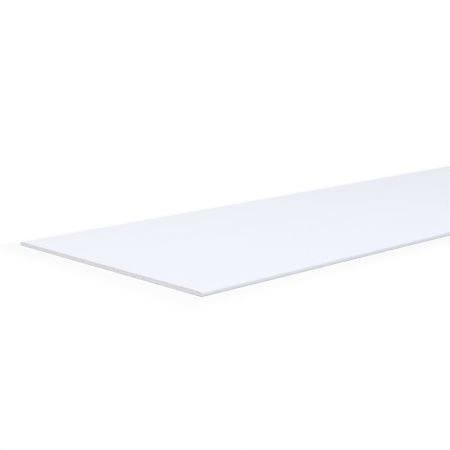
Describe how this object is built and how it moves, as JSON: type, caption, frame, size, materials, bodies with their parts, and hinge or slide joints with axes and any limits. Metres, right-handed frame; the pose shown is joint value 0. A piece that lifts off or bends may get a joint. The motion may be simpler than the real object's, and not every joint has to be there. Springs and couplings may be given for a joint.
{
  "type": "drywall sheet",
  "caption": "Flat rectangular plasterboard sheet with a white paper face, shallow tapered and rounded long edges and square-cut ends, for lining walls and ceilings.",
  "frame": {"origin": "middle of the back face, on the surface that the sheet lies on", "axes": "+X along the sheet's length, +Y across its width, +Z out of its face"},
  "size_m": [2.4, 1.2, 0.0125],
  "materials": {
    "board_paper": "matte"
  },
  "bodies": {
    "root": {"drywall_sheet": "board_paper"}
  },
  "joints": []
}
